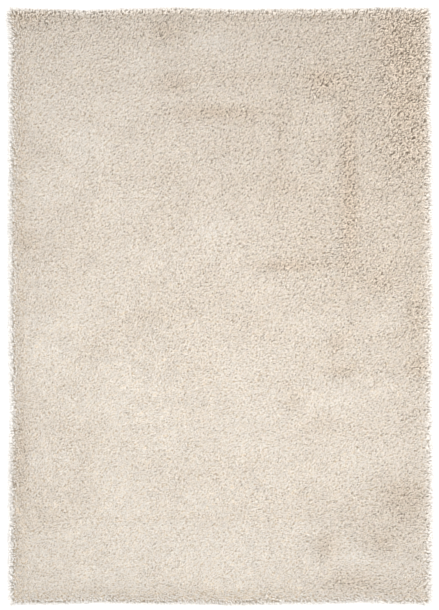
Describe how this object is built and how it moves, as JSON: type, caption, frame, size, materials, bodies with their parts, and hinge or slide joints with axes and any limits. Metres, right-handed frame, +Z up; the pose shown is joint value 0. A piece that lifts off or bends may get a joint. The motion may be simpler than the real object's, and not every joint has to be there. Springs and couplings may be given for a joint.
{
  "type": "shag rug",
  "caption": "Plain rectangular shag rug with a deep, soft, tousled yarn pile on a flat woven ground cloth, to lie on a floor.",
  "frame": {"origin": "middle of the underside, on the floor", "axes": "+X along the width, +Y along the length, +Z up out of the pile"},
  "size_m": [1.2192, 1.7196, 0.0346],
  "materials": {
    "ground_cloth": "matt, coarse, plain-woven natural ground cloth with a glued back",
    "pile_yarn": "ivory, thick, softly twisted cut yarn with a faint sheen, combed over in places and tousled in others"
  },
  "bodies": {
    "root": {"ground_cloth": "ground_cloth", "yarn_pile": "pile_yarn"}
  },
  "joints": []
}
